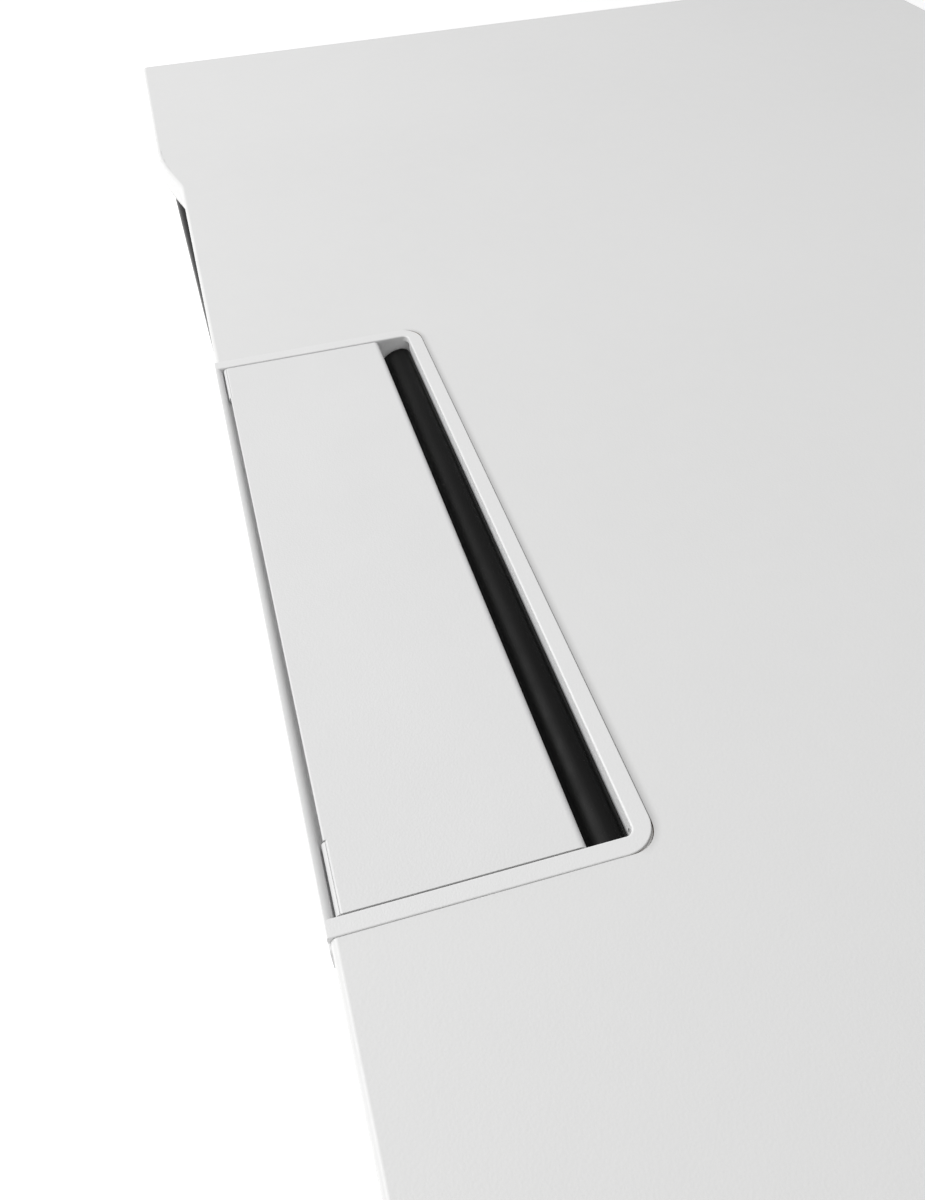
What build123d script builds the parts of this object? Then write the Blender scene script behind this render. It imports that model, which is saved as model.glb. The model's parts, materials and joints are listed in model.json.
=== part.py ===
from build123d import *
from math import atan2, cos, degrees, radians, sin
import os

# A flat office desk with a bay along its rear edge. A flip-up cable hatch sits in
# the bay, over a steel cable tray. X runs along the desk, Y from the user's side
# to the rear, Z up. The origin is on the floor under the middle of the top.

os.makedirs("parts", exist_ok=True)

# Driving dimensions, in millimetres --------------------------------------------
desk_width = 1500.0
desk_depth = 800.0
desk_height = 740.0
board_thickness = 22.0

band_thickness = 3.0            # plastic edge band round the board
band_edge_radius = 2.9          # rounding of the band, top and bottom
corner_radius = 4.0             # plan corners of the top

bay_depth = 13.5                # how far the rear edge steps in
bay_mouth_x = 513.0             # where the slanted flank leaves the outer edge
bay_floor_x = 458.0             # where the flank meets the stepped-in edge
bay_mouth_radius = 200.0
bay_floor_radius = 40.0

hatch_length = 386.4            # bezel, along X
hatch_front_inset = 142.4       # bezel's front edge, measured from the rear edge
hatch_rear_inset = 12.5         # outer face of the rear rail
bezel_width = 7.7               # end rails of the bezel
bezel_front_width = 8.4
bezel_proud = 0.6               # bezel top above the desk top
bezel_corner_radius = 13.5
flange_corner_radius = 11.3     # thin flange below the bezel, fuller at the corners
flange_top = 0.9
rebate_depth = 3.0              # step in the board that the bezel lies on
rebate_gap = 0.25               # between the bezel's front and the board
rebate_end_gap = 0.12
collar_wall = 3.5               # frame walls inside the cut-out
collar_depth = 24.0             # frame's lower edge below the desk top

lid_gap = 0.62                  # between the lid and the end rails
lid_front_inset = 115.1
lid_rear_inset = 18.2
lid_thickness = 4.0
lid_top = 0.1                   # lid top above the desk top
barrel_length = 30.9
barrel_radius = 2.4
hinge_inset = 19.6              # hinge axis from the rear edge
hinge_depth = 2.5               # hinge axis below the desk top
pin_radius = 1.2
pin_length = 16.4

lip_apex_inset = 129.3          # crest of the rubber lip
lip_apex_depth = 7.6
lip_thickness = 2.0

leg_radius = 25.0
leg_wall = 2.0
leg_inset = 1.0                 # leg's surface inside the desk's outer edges
leg_bottom = 25.0
foot_pad_radius = 21.0
stem_radius = 5.0

rail_height = 50.0
rail_width = 25.0
rail_wall = 1.5
long_rail_y = 195.0
plate_thickness = 4.0

tray_length = 560.0
tray_sheet = 1.2
tray_front_inset = 152.0
tray_rear_inset = 36.0
tray_depth = 112.0              # tray floor below the desk top
tray_rear_wall_top = 52.0
tray_flange_width = 20.0

fit_gap = 0.05                  # radial clearance of screws, pins and stems

# Places worked out from them ---------------------------------------------------
half_width = desk_width / 2
half_depth = desk_depth / 2
under_z = desk_height - board_thickness
bezel_half = hatch_length / 2
opening_half = bezel_half - bezel_width
collar_half = opening_half + collar_wall
cutout_half = collar_half + 0.5
rebate_half = bezel_half + rebate_end_gap
collar_front_inset = hatch_front_inset - 3.0
cutout_front_inset = collar_front_inset + 0.5
rebate_front_inset = hatch_front_inset + rebate_gap
opening_front_inset = hatch_front_inset - bezel_front_width
lid_half = opening_half - lid_gap
leg_x = half_width - leg_inset - leg_radius
leg_y = half_depth - leg_inset - leg_radius
rail_bottom = under_z - rail_height
end_rail_inner_x = leg_x - rail_width / 2

leg_places = {
    "front_left": (-leg_x, -leg_y),
    "front_right": (leg_x, -leg_y),
    "rear_left": (-leg_x, leg_y),
    "rear_right": (leg_x, leg_y),
}


def inset(distance):
    """Y of a line this far in from the desk's outer rear edge."""
    return half_depth - distance


def below(distance):
    """Z of a level this far below the desk top."""
    return desk_height - distance


def block(low, high, mode=Mode.ADD):
    """A box between two opposite corners."""
    size = [b - a for a, b in zip(low, high)]
    middle = tuple((a + b) / 2 for a, b in zip(low, high))
    with Locations(middle):
        Box(*size, mode=mode)


def rod(start, direction, radius, length, mode=Mode.ADD):
    """A round bar from a start point along a direction."""
    with BuildSketch(Plane(origin=start, z_dir=direction)) as section:
        Circle(radius)
    extrude(section.sketch, amount=length, mode=mode)


def save(part, name):
    """Label a finished piece and write it."""
    part.label = name
    export_step(part, f"parts/{name}.step")


# Desk top ----------------------------------------------------------------------
def top_plan(shrink=0.0):
    """Plan of the top: straight front and ends, and the bay along the rear."""
    bay_y = half_depth - bay_depth
    with BuildSketch(Plane.XY.offset(under_z)) as plan:
        with BuildLine():
            Polyline(
                (-half_width, -half_depth),
                (half_width, -half_depth),
                (half_width, half_depth),
                (bay_mouth_x, half_depth),
                (bay_floor_x, bay_y),
                (-bay_floor_x, bay_y),
                (-bay_mouth_x, half_depth),
                (-half_width, half_depth),
                close=True,
            )
        make_face()
        for distance, radius in (
            (half_width, corner_radius),
            (bay_mouth_x, bay_mouth_radius),
            (bay_floor_x, bay_floor_radius),
        ):
            corners = plan.vertices().filter_by(lambda v: abs(abs(v.X) - distance) < 0.01)
            fillet(corners, radius)
        if shrink:
            offset(amount=-shrink)
    return plan.sketch


def hatch_opening():
    """Cut the notch for the hatch frame, and the step that its bezel lies on."""
    beyond = half_depth + 10
    steps = [
        (under_z, cutout_half, inset(cutout_front_inset), 9.0),
        (below(rebate_depth), rebate_half, inset(rebate_front_inset), flange_corner_radius),
    ]
    for level, half, front, radius in steps:
        with BuildSketch(Plane.XY.offset(level)) as notch:
            with Locations((0, (front + beyond) / 2)):
                Rectangle(2 * half, beyond - front)
            fillet(notch.vertices().group_by(Axis.Y)[0], radius)
        extrude(notch.sketch, amount=desk_height - level + 1, mode=Mode.SUBTRACT)


def rim(band):
    """Edge band all round the board, before it is cut into lengths."""
    extrude(top_plan(), amount=board_thickness)
    rounded = band.edges().group_by(Axis.Z)[-1] + band.edges().group_by(Axis.Z)[0]
    fillet(rounded, band_edge_radius)
    extrude(top_plan(shrink=band_thickness), amount=board_thickness, mode=Mode.SUBTRACT)


# Places of the fixings in the underside of the board.
bracket_size = 40.0
bracket_thickness = 3.0
bracket_pitch = 36.0
screw_pilot_depth = 13.0
end_bracket_x = end_rail_inner_x - bracket_size / 2
long_bracket_y = long_rail_y - rail_width / 2 - bracket_size / 2
end_brackets = {
    "left_front": (-end_bracket_x, -300.0),
    "left_rear": (-end_bracket_x, 300.0),
    "right_front": (end_bracket_x, -300.0),
    "right_rear": (end_bracket_x, 300.0),
}
long_brackets = {
    "front_left": (-450.0, -long_bracket_y),
    "front_right": (450.0, -long_bracket_y),
    "rear_left": (-450.0, long_bracket_y),
    "rear_right": (450.0, long_bracket_y),
}
bracket_screw_places = [
    (x, y + side * bracket_pitch / 2) for x, y in end_brackets.values() for side in (-1, 1)
] + [
    (x + side * bracket_pitch / 2, y) for x, y in long_brackets.values() for side in (-1, 1)
]
tray_strap_x = 240.0
tray_flange_y = inset(tray_front_inset + tray_flange_width / 2)
tray_strap_screw_y = inset(tray_rear_inset + 16)
tray_screw_places = [(x, tray_flange_y) for x in (-240, -80, 80, 240)] + [
    (x, tray_strap_screw_y) for x in (-tray_strap_x, tray_strap_x)
]
frame_screw_y = (inset(45.0), inset(90.0))
frame_screw_depth = 13.0
frame_screw_radius = 1.75
frame_screw_length = 19.0
screw_radius = 2.2

with BuildPart() as worktop_board:
    extrude(top_plan(shrink=band_thickness), amount=board_thickness)
    hatch_opening()
    for x, y in bracket_screw_places + tray_screw_places:
        rod((x, y, under_z), (0, 0, 1), screw_radius + fit_gap, screw_pilot_depth, Mode.SUBTRACT)
    for y in frame_screw_y:
        for side in (-1, 1):
            start = (side * opening_half, y, below(frame_screw_depth))
            reach = frame_screw_length + 0.5
            rod(start, (side, 0, 0), frame_screw_radius + fit_gap, reach, Mode.SUBTRACT)
save(worktop_board.part, "worktop_board")

# The front and rear bands take in the rounded corners; the end bands run between.
band_split_y = half_depth - corner_radius
band_inner_x = half_width - 10
rear_band_y = inset(bay_depth + 10)

with BuildPart() as edge_band_front:
    rim(edge_band_front)
    low = (-half_width, -half_depth, under_z)
    block(low, (half_width, -band_split_y, desk_height), Mode.INTERSECT)
save(edge_band_front.part, "edge_band_front")

for name, side in (("left", -1), ("right", 1)):
    inner, outer = sorted((side * band_inner_x, side * half_width))
    middle, edge = sorted((0, side * half_width))

    with BuildPart() as end_band:
        rim(end_band)
        low = (inner, -band_split_y, under_z)
        block(low, (outer, band_split_y, desk_height), Mode.INTERSECT)
    save(end_band.part, f"edge_band_{name}")

    with BuildPart() as rear_band:
        rim(rear_band)
        low = (middle, rear_band_y, under_z)
        block(low, (edge, half_depth, desk_height), Mode.INTERSECT)
        low = (inner, rear_band_y, under_z)
        block(low, (outer, band_split_y, desk_height), Mode.SUBTRACT)
        hatch_opening()
    save(rear_band.part, f"edge_band_rear_{name}")


# Hatch frame -------------------------------------------------------------------
hinge_y = inset(hinge_inset)
hinge_z = below(hinge_depth)
trough_radius = 3.3             # clear of the lid's rear edge as it turns
trough_wall = 1.6
trough_end_angle = -100.0
trough_shell_angle = -30.0      # where the trough's outer wall joins the skirt
rail_crest_inset = 13.1         # where the rear rail starts to round over
bezel_inner_round = 0.9
bezel_outer_round = 0.5
skirt_depth = 19.0
skirt_top = 4.0
skirt_thickness = 1.0
skirt_half = 196.5
skirt_corner_radius = 2.0
skirt_wall = 2.0
seal_wall_inset = 135.1         # face that the rubber lip is clamped against
seal_wall_top = 9.0
front_lip_half = 180.5
front_lip_depth = 6.5
front_lip_thickness = 1.2
shelf_top = 5.1
shelf_size = 10.0
shelf_front_inset = 112.0
ledge_top = 4.0
ledge_width = 2.5
clamp_screw_depth = 19.5
clamp_screw_radius = 1.45
clamp_screw_x = (-160.0, -80.0, 0.0, 80.0, 160.0)


def rear_rail_profile():
    """Section of the rear rail: outer skirt wall, a rounded inner side that runs
    into the round trough, and the trough that the hinge barrels turn in."""
    top_z = desk_height + bezel_proud
    across = inset(rail_crest_inset) - hinge_y
    rise = top_z - hinge_z
    # the round is level at the crest and meets the trough without a step
    round_radius = (across**2 + rise**2 - trough_radius**2) / (2 * (trough_radius + rise))
    touch = degrees(atan2(rise - round_radius, across))
    crest = (inset(rail_crest_inset), top_z)
    middle = radians((270 + touch) / 2)
    on_round = (
        crest[0] + round_radius * cos(middle),
        crest[1] - round_radius + round_radius * sin(middle),
    )
    outer_radius = trough_radius + trough_wall

    def on_trough(radius, angle):
        return (
            hinge_y + radius * cos(radians(angle)),
            hinge_z + radius * sin(radians(angle)),
        )

    outer_y = inset(hatch_rear_inset)
    trough_middle = (touch + trough_end_angle) / 2
    shell_middle = (trough_shell_angle + trough_end_angle) / 2
    start_x = opening_half + bezel_inner_round
    with BuildSketch(Plane.YZ.offset(-start_x)) as section:
        with BuildLine():
            Polyline(
                on_trough(outer_radius, trough_shell_angle),
                (outer_y - skirt_wall, below(8.0)),
                (outer_y - skirt_wall, below(skirt_depth)),
                (outer_y, below(skirt_depth)),
                (outer_y, top_z - bezel_outer_round - 0.1),
                crest,
            )
            ThreePointArc(crest, on_round, on_trough(trough_radius, touch))
            ThreePointArc(
                on_trough(trough_radius, touch),
                on_trough(trough_radius, trough_middle),
                on_trough(trough_radius, trough_end_angle),
            )
            Line(
                on_trough(trough_radius, trough_end_angle),
                on_trough(outer_radius, trough_end_angle),
            )
            ThreePointArc(
                on_trough(outer_radius, trough_end_angle),
                on_trough(outer_radius, shell_middle),
                on_trough(outer_radius, trough_shell_angle),
            )
        make_face()
    return section.sketch


with BuildPart() as hatch_frame:
    # bezel ring, lying in the board's rebate
    with BuildSketch(Plane.XY.offset(below(rebate_depth))) as bezel:
        centre_y = (inset(hatch_front_inset) + inset(hatch_rear_inset)) / 2
        with Locations((0, centre_y)):
            Rectangle(hatch_length, hatch_front_inset - hatch_rear_inset)
        fillet(bezel.vertices().group_by(Axis.Y)[0], bezel_corner_radius)
        opening_front = inset(opening_front_inset)
        opening_rear = inset(rail_crest_inset)
        with BuildSketch(mode=Mode.SUBTRACT) as mouth:
            with Locations((0, (opening_front + opening_rear) / 2)):
                Rectangle(2 * opening_half, opening_rear - opening_front)
            fillet(mouth.vertices().group_by(Axis.Y)[0], 3.5)
    extrude(amount=rebate_depth + bezel_proud)
    top_edges = hatch_frame.edges().group_by(Axis.Z)[-1]
    inner_top = top_edges.filter_by(
        lambda e: abs(e.center().X) < opening_half + 0.5 and e.center().Y < opening_rear - 1
        and e.center().Y > opening_front - 1
    )
    fillet(inner_top, bezel_inner_round)
    outer_top = hatch_frame.edges().group_by(Axis.Z)[-1].filter_by(
        lambda e: abs(e.center().X) > bezel_half - 5 or e.center().Y < opening_front - 5
        or e.center().Y > opening_rear + 0.3
    )
    fillet(outer_top, bezel_outer_round)
    # thin flange that fills the rebate's tighter front corners
    with BuildSketch(Plane.XY.offset(below(rebate_depth))) as flange:
        with Locations((0, centre_y)):
            Rectangle(hatch_length, hatch_front_inset - hatch_rear_inset)
        fillet(flange.vertices().group_by(Axis.Y)[0], flange_corner_radius)
        with Locations((0, (opening_front + opening_rear) / 2)):
            Rectangle(2 * opening_half, opening_rear - opening_front, mode=Mode.SUBTRACT)
    extrude(amount=rebate_depth - flange_top)
    # walls inside the cut-out
    with BuildSketch(Plane.XY.offset(below(collar_depth))) as collar:
        front = inset(collar_front_inset)
        frame_rear = inset(hatch_rear_inset)
        with Locations((0, (front + frame_rear) / 2)):
            Rectangle(2 * collar_half, frame_rear - front)
        fillet(collar.vertices().group_by(Axis.Y)[0], 9.5)
        inner_front = inset(collar_front_inset - 2.2)
        with Locations((0, (inner_front + frame_rear) / 2)):
            Rectangle(2 * opening_half, frame_rear - inner_front, mode=Mode.SUBTRACT)
    extrude(amount=collar_depth - rebate_depth)
    block(
        (-opening_half, inset(collar_front_inset - 1), below(collar_depth)),
        (opening_half, inset(seal_wall_inset), below(seal_wall_top)),
    )
    block(
        (-front_lip_half, inset(opening_front_inset + front_lip_thickness), below(front_lip_depth)),
        (front_lip_half, inset(opening_front_inset), below(rebate_depth - 0.5)),
    )
    # rear rail and trough between the end walls
    extrude(rear_rail_profile(), amount=2 * (opening_half + bezel_inner_round))
    # skirt over the edge band at each side of the notch
    with BuildSketch(Plane.XZ.offset(-inset(hatch_rear_inset))) as skirt:
        with Locations((0, below((skirt_top + skirt_depth) / 2))):
            Rectangle(2 * skirt_half, skirt_depth - skirt_top)
        fillet(skirt.vertices(), skirt_corner_radius)
    extrude(amount=skirt_thickness)
    for side in (-1, 1):
        wall_x = side * opening_half
        # link between the end wall and the skirt
        ends = sorted((wall_x, side * collar_half))
        block(
            (ends[0], inset(hatch_rear_inset + 4), below(skirt_depth)),
            (ends[1], inset(hatch_rear_inset), below(rebate_depth)),
        )
        # ledge and shelf that carry the closed lid
        ends = sorted((wall_x, wall_x - side * ledge_width))
        block(
            (ends[0], inset(shelf_front_inset - 6), below(ledge_top + 2.5)),
            (ends[1], inset(30.0), below(ledge_top)),
        )
        ends = sorted((wall_x, wall_x - side * shelf_size))
        block(
            (ends[0], inset(shelf_front_inset), below(shelf_top + 2)),
            (ends[1], inset(shelf_front_inset - shelf_size), below(shelf_top)),
        )
        block(
            (ends[0], inset(shelf_front_inset), below(shelf_top)),
            (ends[1], inset(shelf_front_inset - shelf_size), below(ledge_top - 0.5)),
            Mode.SUBTRACT,
        )
        # bores for the hinge pin and the fixing screws
        start = (wall_x, hinge_y, hinge_z)
        rod(start, (side, 0, 0), pin_radius + 0.01, collar_wall - 0.1, Mode.SUBTRACT)
        for y in frame_screw_y:
            start = (wall_x, y, below(frame_screw_depth))
            rod(start, (side, 0, 0), frame_screw_radius + fit_gap, collar_wall, Mode.SUBTRACT)
            head = Plane(origin=start, z_dir=(side, 0, 0))
            with BuildSketch(head):
                Circle(3.55)
            with BuildSketch(head.offset(1.8)):
                Circle(frame_screw_radius + fit_gap)
            loft(mode=Mode.SUBTRACT)
    for x in clamp_screw_x:
        start = (x, inset(seal_wall_inset), below(clamp_screw_depth))
        rod(start, (0, -1, 0), clamp_screw_radius + fit_gap, 3.2, Mode.SUBTRACT)
save(hatch_frame.part, "hatch_frame")


# Hatch lid and its pins --------------------------------------------------------
barrel_start = lid_half - barrel_length
lid_edge_at_barrel = inset(19.1)
front_lip_width = 2.5
lid_front_lip_depth = 6.0
rib_depth = 7.0
rib_width = 1.8
seam_inset = 18.9               # fine moulding seam along each barrel
seam_width = 0.2
seam_floor = 0.36

with BuildPart() as hatch_lid:
    block(
        (-lid_half, inset(lid_front_inset), desk_height + lid_top - lid_thickness),
        (lid_half, inset(lid_rear_inset), desk_height + lid_top),
    )
    for side in (-1, 1):
        ends = sorted((side * (barrel_start - 0.6), side * (lid_half + 1)))
        block(
            (ends[0], lid_edge_at_barrel, below(lid_thickness + 1)),
            (ends[1], inset(lid_rear_inset) + 1, desk_height + 1),
            Mode.SUBTRACT,
        )
    top_edges = hatch_lid.edges().group_by(Axis.Z)[-1]
    fillet(top_edges.group_by(Axis.Y)[0], 3.0)
    top_edges = hatch_lid.edges().group_by(Axis.Z)[-1]
    rear_edges = top_edges.filter_by(lambda e: e.center().Y > lid_edge_at_barrel - 1)
    fillet(rear_edges.filter_by(Axis.X), 0.8)
    block(
        (-lid_half, inset(lid_front_inset), below(lid_front_lip_depth)),
        (lid_half, inset(lid_front_inset - front_lip_width), below(lid_thickness - 1)),
    )
    for x in (-150, -90, -30, 30, 90, 150):
        block(
            (x - rib_width / 2, inset(105.0), below(rib_depth)),
            (x + rib_width / 2, inset(35.0), below(lid_thickness - 1)),
        )
    for depth in (60.0, 90.0):
        block(
            (-150, inset(depth) - rib_width / 2, below(rib_depth)),
            (150, inset(depth) + rib_width / 2, below(lid_thickness - 1)),
        )
    for side in (-1, 1):
        rod((side * barrel_start, hinge_y, hinge_z), (side, 0, 0), barrel_radius, barrel_length)
        start = (side * (lid_half + 1), hinge_y, hinge_z)
        bore = pin_length - collar_wall + 2.0
        rod(start, (-side, 0, 0), pin_radius + fit_gap, bore, Mode.SUBTRACT)
        ends = sorted((side * barrel_start, side * lid_half))
        block(
            (ends[0], inset(seam_inset + seam_width), below(seam_floor)),
            (ends[1], inset(seam_inset), desk_height + 1),
            Mode.SUBTRACT,
        )
save(hatch_lid.part, "hatch_lid")

for name, side in (("left", -1), ("right", 1)):
    with BuildPart() as pin:
        end = (side * (collar_half - 0.2), hinge_y, hinge_z)
        rod(end, (-side, 0, 0), pin_radius, pin_length)
        chamfer(pin.edges(), 0.2)
    save(pin.part, f"lid_hinge_pin_{name}")


# Rubber lip, its clamp bar and the small hatch hardware ------------------------
lip_tight_radius = 5.7          # outer radius at the front of the crest
lip_wide_radius = 16.0          # outer radius towards the lid
lip_wide_angle = 60.0
lip_half = opening_half - 1.0
lip_foot_depth = 23.0
clamp_bar_thickness = 2.2
clamp_bar_height = 7.0


def lip_profile():
    """Section of the rubber lip: an upright foot, a tight bend over the crest
    and a long soft curve down towards the lid."""
    apex_y = inset(lip_apex_inset)
    apex_z = below(lip_apex_depth)
    tight = (apex_y, apex_z - lip_tight_radius)
    wide = (apex_y, apex_z - lip_wide_radius)

    def on_arc(centre, radius, angle):
        return (
            centre[0] + radius * sin(radians(angle)),
            centre[1] + radius * cos(radians(angle)),
        )

    inner_tight = lip_tight_radius - lip_thickness
    inner_wide = lip_wide_radius - lip_thickness
    foot_z = below(lip_foot_depth)
    with BuildSketch(Plane.YZ.offset(-lip_half)) as section:
        with BuildLine():
            Polyline(
                on_arc(tight, lip_tight_radius, -90),
                (tight[0] - lip_tight_radius, foot_z),
                (tight[0] - inner_tight, foot_z),
                on_arc(tight, inner_tight, -90),
            )
            ThreePointArc(
                on_arc(tight, inner_tight, -90),
                on_arc(tight, inner_tight, -45),
                on_arc(tight, inner_tight, 0),
            )
            ThreePointArc(
                on_arc(wide, inner_wide, 0),
                on_arc(wide, inner_wide, lip_wide_angle / 2),
                on_arc(wide, inner_wide, lip_wide_angle),
            )
            ThreePointArc(
                on_arc(wide, inner_wide, lip_wide_angle),
                on_arc(wide, (inner_wide + lip_wide_radius) / 2, lip_wide_angle + 3.5),
                on_arc(wide, lip_wide_radius, lip_wide_angle),
            )
            ThreePointArc(
                on_arc(wide, lip_wide_radius, lip_wide_angle),
                on_arc(wide, lip_wide_radius, lip_wide_angle / 2),
                on_arc(wide, lip_wide_radius, 0),
            )
            ThreePointArc(
                on_arc(tight, lip_tight_radius, 0),
                on_arc(tight, lip_tight_radius, -45),
                on_arc(tight, lip_tight_radius, -90),
            )
        make_face()
    return section.sketch


lip_outer_y = inset(lip_apex_inset) - lip_tight_radius
lip_inner_y = lip_outer_y + lip_thickness
clamp_bar_y = lip_inner_y + clamp_bar_thickness

with BuildPart() as cable_lip:
    extrude(lip_profile(), amount=2 * lip_half)
    for x in clamp_screw_x:
        start = (x, lip_inner_y, below(clamp_screw_depth))
        rod(start, (0, -1, 0), clamp_screw_radius + fit_gap, lip_thickness, Mode.SUBTRACT)
save(cable_lip.part, "cable_lip")

with BuildPart() as lip_clamp_bar:
    block(
        (-lip_half + 1, lip_inner_y, below(lip_foot_depth)),
        (lip_half - 1, clamp_bar_y, below(lip_foot_depth - clamp_bar_height)),
    )
    chamfer(lip_clamp_bar.edges().group_by(Axis.Y)[-1], 0.4)
    for x in clamp_screw_x:
        start = (x, clamp_bar_y, below(clamp_screw_depth))
        rod(start, (0, -1, 0), clamp_screw_radius + fit_gap, clamp_bar_thickness, Mode.SUBTRACT)
save(lip_clamp_bar.part, "lip_clamp_bar")


def pan_screw(seat, direction, shank_radius, length):
    """A pan-head screw whose head sits on the seat point, shank along direction."""
    away = tuple(-d for d in direction)
    rod(seat, direction, shank_radius, length)
    rod(seat, away, 2 * shank_radius, 1.1 * shank_radius)


def cross_recess(seat, direction, shank_radius):
    """The cross slot in the head of a pan-head screw."""
    top = Plane(origin=seat, z_dir=tuple(-d for d in direction)).offset(1.1 * shank_radius)
    with BuildSketch(top) as cross:
        Rectangle(2.2 * shank_radius, 0.45 * shank_radius)
        Rectangle(0.45 * shank_radius, 2.2 * shank_radius)
    extrude(cross.sketch, amount=-0.7 * shank_radius, mode=Mode.SUBTRACT)


with BuildPart() as lip_clamp_screws:
    seats = [(x, clamp_bar_y, below(clamp_screw_depth)) for x in clamp_screw_x]
    for seat in seats:
        pan_screw(seat, (0, -1, 0), clamp_screw_radius, clamp_bar_thickness + lip_thickness + 3)
    for seat in seats:
        cross_recess(seat, (0, -1, 0), clamp_screw_radius)
save(lip_clamp_screws.part, "lip_clamp_screws")

with BuildPart() as hatch_frame_screws:
    for side in (-1, 1):
        for y in frame_screw_y:
            start = (side * opening_half, y, below(frame_screw_depth))
            rod(start, (side, 0, 0), frame_screw_radius, frame_screw_length)
            head = Plane(origin=start, z_dir=(side, 0, 0))
            with BuildSketch(head):
                Circle(3.5)
            with BuildSketch(head.offset(1.75)):
                Circle(frame_screw_radius)
            loft()
            with BuildSketch(head):
                Rectangle(3.6, 0.8)
                Rectangle(0.8, 3.6)
            extrude(amount=1.2, mode=Mode.SUBTRACT)
save(hatch_frame_screws.part, "hatch_frame_screws")

with BuildPart() as lid_bumpers:
    for side in (-1, 1):
        x = side * (opening_half - shelf_size / 2)
        base = (x, inset(shelf_front_inset - shelf_size / 2), below(shelf_top))
        rod(base, (0, 0, 1), 3.0, shelf_top - ledge_top)
    fillet(lid_bumpers.edges().group_by(Axis.Z)[-1], 0.4)
save(lid_bumpers.part, "lid_bumpers")


# Cable tray --------------------------------------------------------------------
tray_mid_sheet = tray_sheet / 2
strap_width = 30.0
strap_thickness = 2.0
strap_foot = 26.0
strap_drop = 84.0
rivet_radius = 2.0
rivet_depths = (62.0, 76.0)

with BuildPart() as cable_tray:
    with BuildSketch(Plane.YZ.offset(-tray_length / 2)):
        with BuildLine():
            FilletPolyline(
                (inset(tray_front_inset + tray_flange_width), below(board_thickness + tray_mid_sheet)),
                (inset(tray_front_inset - tray_mid_sheet), below(board_thickness + tray_mid_sheet)),
                (inset(tray_front_inset - tray_mid_sheet), below(tray_depth - tray_mid_sheet)),
                (inset(tray_rear_inset + tray_mid_sheet), below(tray_depth - tray_mid_sheet)),
                (inset(tray_rear_inset + tray_mid_sheet), below(tray_rear_wall_top)),
                radius=3.0,
            )
        trace(line_width=tray_sheet)
    extrude(amount=tray_length)
    tray_middle = inset((tray_front_inset + tray_rear_inset) / 2)
    with BuildSketch(Plane.XY.offset(below(tray_depth + 1))):
        with Locations((0, tray_middle)):
            with GridLocations(90, 60, 6, 2):
                SlotOverall(40, 8)
    extrude(amount=4, mode=Mode.SUBTRACT)
    for x, y in tray_screw_places[:4]:
        start = (x, y, below(board_thickness + 5))
        rod(start, (0, 0, 1), screw_radius + 0.3, 6, Mode.SUBTRACT)
    for x in (-tray_strap_x, tray_strap_x):
        for depth in rivet_depths:
            start = (x, inset(tray_rear_inset + 5), below(depth))
            rod(start, (0, 1, 0), rivet_radius + fit_gap, 6, Mode.SUBTRACT)
save(cable_tray.part, "cable_tray")

for name, side in (("left", -1), ("right", 1)):
    with BuildPart() as strap:
        strap_x = side * tray_strap_x
        strap_y = inset(tray_rear_inset - strap_thickness / 2)
        with BuildSketch(Plane.YZ.offset(strap_x - strap_width / 2)):
            with BuildLine():
                FilletPolyline(
                    (strap_y, below(strap_drop)),
                    (strap_y, below(board_thickness + strap_thickness / 2)),
                    (strap_y - strap_foot, below(board_thickness + strap_thickness / 2)),
                    radius=3.0,
                )
            trace(line_width=strap_thickness)
        extrude(amount=strap_width)
        start = (strap_x, tray_strap_screw_y, below(board_thickness + 5))
        rod(start, (0, 0, 1), screw_radius + 0.3, 6, Mode.SUBTRACT)
        for depth in rivet_depths:
            start = (strap_x, inset(tray_rear_inset + 5), below(depth))
            rod(start, (0, 1, 0), rivet_radius + fit_gap, 10, Mode.SUBTRACT)
    save(strap.part, f"tray_strap_{name}")

with BuildPart() as tray_rivets:
    for x in (-tray_strap_x, tray_strap_x):
        for depth in rivet_depths:
            inside = (x, inset(tray_rear_inset + tray_sheet), below(depth))
            outside = (x, inset(tray_rear_inset - strap_thickness), below(depth))
            rod(inside, (0, 1, 0), rivet_radius, tray_sheet + strap_thickness)
            rod(inside, (0, -1, 0), 1.9 * rivet_radius, 1.0)
            rod(outside, (0, 1, 0), 1.9 * rivet_radius, 1.2)
save(tray_rivets.part, "tray_rivets")

with BuildPart() as tray_screws:
    seats = [(x, y, below(board_thickness + tray_sheet)) for x, y in tray_screw_places[:4]]
    seats += [(x, y, below(board_thickness + strap_thickness)) for x, y in tray_screw_places[4:]]
    for seat in seats:
        pan_screw(seat, (0, 0, 1), screw_radius, 14.0)
    for seat in seats:
        cross_recess(seat, (0, 0, 1), screw_radius)
save(tray_screws.part, "tray_screws")


# Underframe: rails, end plates, brackets ---------------------------------------
bolt_radius = 4.0
bolt_offset = 21.0
bolt_z = rail_bottom + rail_height / 2
end_plate_half = 30.0
end_plate_margin = 3.0
nut_radius = 5.5
nut_length = 14.0
bolt_places = [
    (side, y + offset_y)
    for side in (-1, 1)
    for y in (-long_rail_y, long_rail_y)
    for offset_y in (-bolt_offset, bolt_offset)
]

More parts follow.
